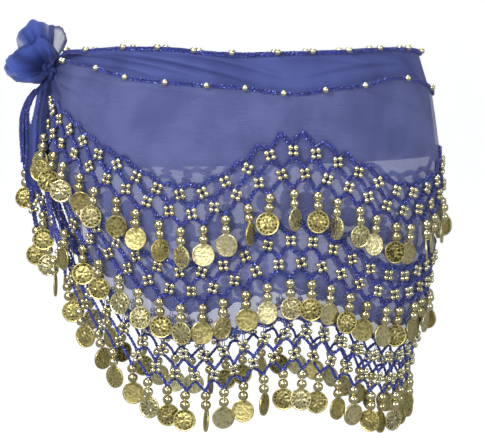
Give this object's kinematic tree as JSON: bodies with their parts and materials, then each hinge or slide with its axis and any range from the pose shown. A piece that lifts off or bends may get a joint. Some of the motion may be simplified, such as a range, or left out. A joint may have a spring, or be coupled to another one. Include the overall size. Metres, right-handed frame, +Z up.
{
  "type": "belly dance hip scarf, worn as a ring and tied in a bow at one hip",
  "caption": "Knotted dance hip scarf of sheer cloth, held open as a hollow ring, with beaded net bands and hanging coin drops.",
  "frame": {"origin": "middle of the ring at the height of the upper rim, where the wearer's hips hold the scarf", "axes": "+Z up; the front faces -Y; the knot and bow are at the -X side"},
  "size_m": [0.3858, 0.2516, 0.3531],
  "materials": {
    "chiffon": "sheer royal blue chiffon, matt with a faint sheen",
    "doubled_chiffon": "the same chiffon folded double, nearly opaque",
    "braid": "crocheted royal blue yarn with a glitter thread",
    "coin_metal": "pale gold plated stamped coins and beads, lightly worn"
  },
  "bodies": {
    "root": {"cloth_front": "chiffon", "cloth_back": "chiffon", "sash_front": "doubled_chiffon", "sash_back": "doubled_chiffon", "outer_edging_front": "braid", "outer_edging_back": "braid", "inner_edging_front": "braid", "inner_edging_back": "braid", "net_1_front": "braid", "net_1_back": "braid", "net_2_front": "braid", "net_2_back": "braid", "net_3_front": "braid", "net_3_back": "braid", "coins_1_front": "coin_metal", "coins_1_back": "coin_metal", "coins_2_front": "coin_metal", "coins_2_back": "coin_metal", "coins_3_front": "coin_metal", "coins_3_back": "coin_metal", "knot": "doubled_chiffon", "bow_rosette": "chiffon", "bow_small_loop": "chiffon", "tail_front": "chiffon", "tail_back": "chiffon", "tail_coins_front": "coin_metal", "tail_coins_back": "coin_metal"}
  },
  "joints": []
}
